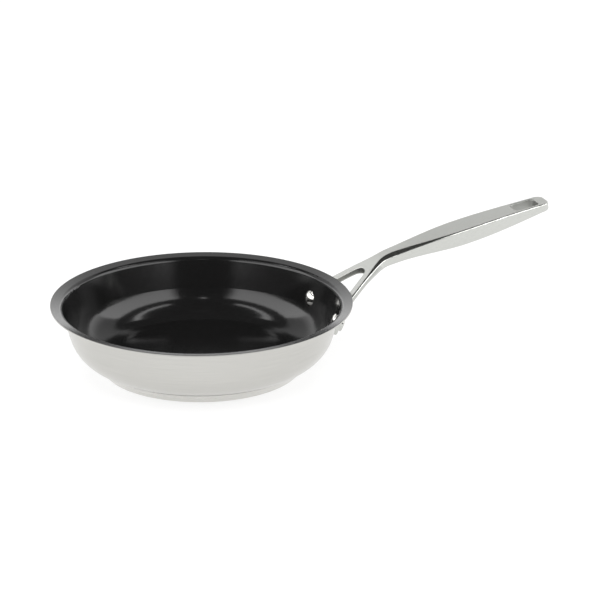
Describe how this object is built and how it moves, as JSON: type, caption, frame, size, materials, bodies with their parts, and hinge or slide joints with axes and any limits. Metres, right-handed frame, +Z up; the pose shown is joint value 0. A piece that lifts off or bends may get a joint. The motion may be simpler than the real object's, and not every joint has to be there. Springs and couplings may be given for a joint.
{
  "type": "omelette pan",
  "caption": "Shallow round steel pan with a dark non-stick interior, a rolled flared lip, a thick capped base and a long forked cast handle with a hanging slot.",
  "frame": {"origin": "centre of the base's underside, on the surface that the pan stands on", "axes": "+X along the handle, from the bowl's centre to the handle's tip; +Z up, along the bowl's axis; +Y to the left of the handle when looking from the bowl to the tip"},
  "size_m": [0.4179, 0.2404, 0.1075],
  "materials": {
    "body_steel": "fine satin",
    "nonstick": "glossy black",
    "core_aluminium": "plain, hidden in the base",
    "cap_steel": "fine satin",
    "handle_steel": "satin top, polished edges",
    "rivet_steel": "mirror polished"
  },
  "bodies": {
    "root": {"pan_body": "body_steel", "nonstick_lining": "nonstick", "base_core": "core_aluminium", "base_cap": "cap_steel", "handle": "handle_steel", "rivet_left": "rivet_steel", "rivet_right": "rivet_steel"}
  },
  "joints": []
}
